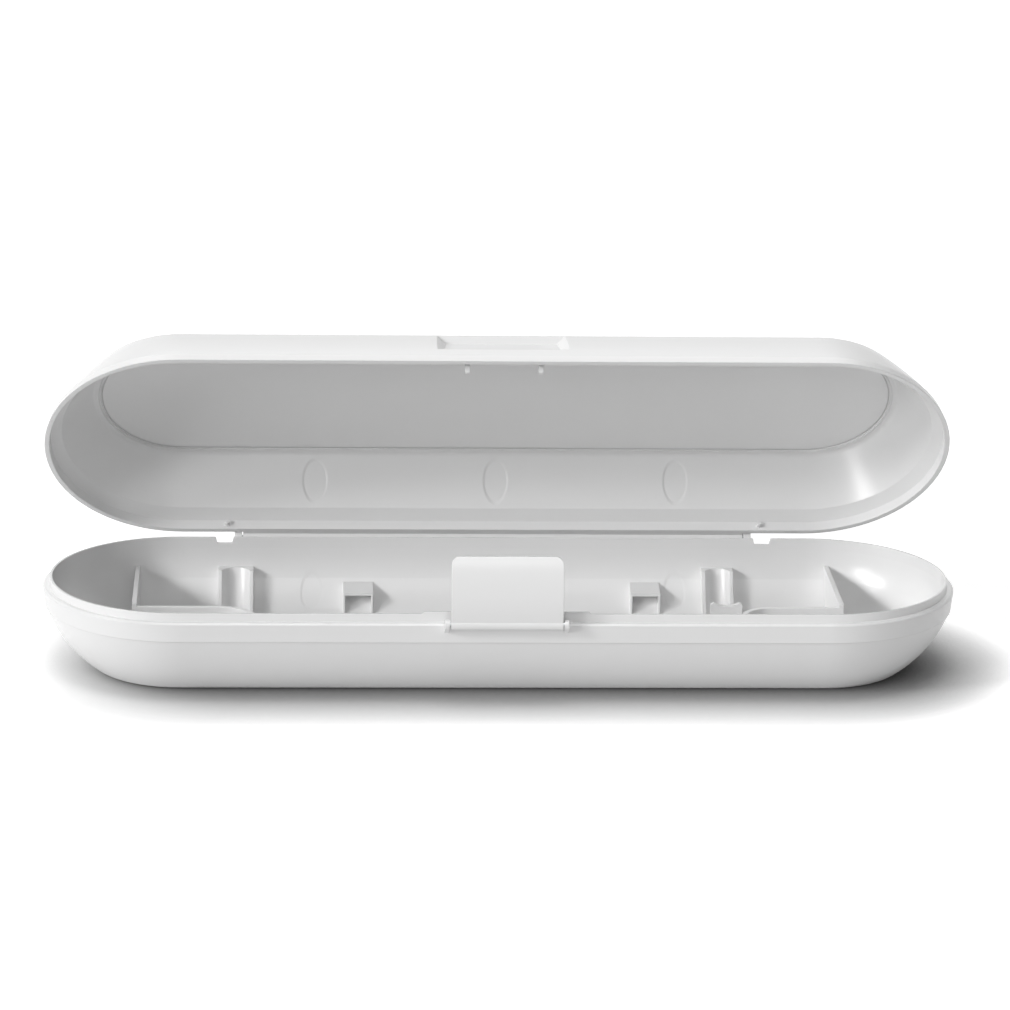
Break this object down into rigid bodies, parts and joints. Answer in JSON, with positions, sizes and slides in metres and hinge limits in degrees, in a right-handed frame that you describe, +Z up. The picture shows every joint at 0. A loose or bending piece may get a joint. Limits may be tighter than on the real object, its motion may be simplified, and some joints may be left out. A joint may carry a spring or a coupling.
{
  "type": "electric toothbrush travel case",
  "caption": "Pill-shaped travel case for an electric toothbrush, with a rear-hinged lid, a swinging front latch flap and moulded holders inside the base.",
  "frame": {"origin": "centre of the flat underside, on the resting plane", "axes": "+X along the case to the right, -Y to the latch at the front, +Z up"},
  "size_m": [0.216, 0.0761, 0.0764],
  "materials": {
    "shell_plastic": "satin-gloss moulded",
    "latch_plastic": "satin-gloss moulded",
    "insert_plastic": "satin-gloss moulded",
    "pin_steel": "drawn wire"
  },
  "bodies": {
    "base": {"base_shell": "shell_plastic", "left_fence": "insert_plastic", "right_fence": "insert_plastic", "left_head_guide": "insert_plastic", "right_head_guide": "insert_plastic", "neck_saddle": "insert_plastic", "left_head_rest": "insert_plastic", "right_head_rest": "insert_plastic", "left_hinge_pin": "pin_steel", "right_hinge_pin": "pin_steel", "latch_pin": "pin_steel"},
    "lid": {"lid_shell": "shell_plastic"},
    "latch": {"latch_flap": "latch_plastic"}
  },
  "joints": [
    {"name": "lid_hinge", "type": "hinge", "parent": "base", "child": "lid", "pos_m": [0, 0.0348, 0.0202], "axis": [-1, 0, 0], "range_deg": [-55, 35]},
    {"name": "latch_hinge", "type": "hinge", "parent": "base", "child": "latch", "pos_m": [0, -0.03372, 0.0203], "axis": [1, 0, 0], "range_deg": [-28, 159]}
  ]
}
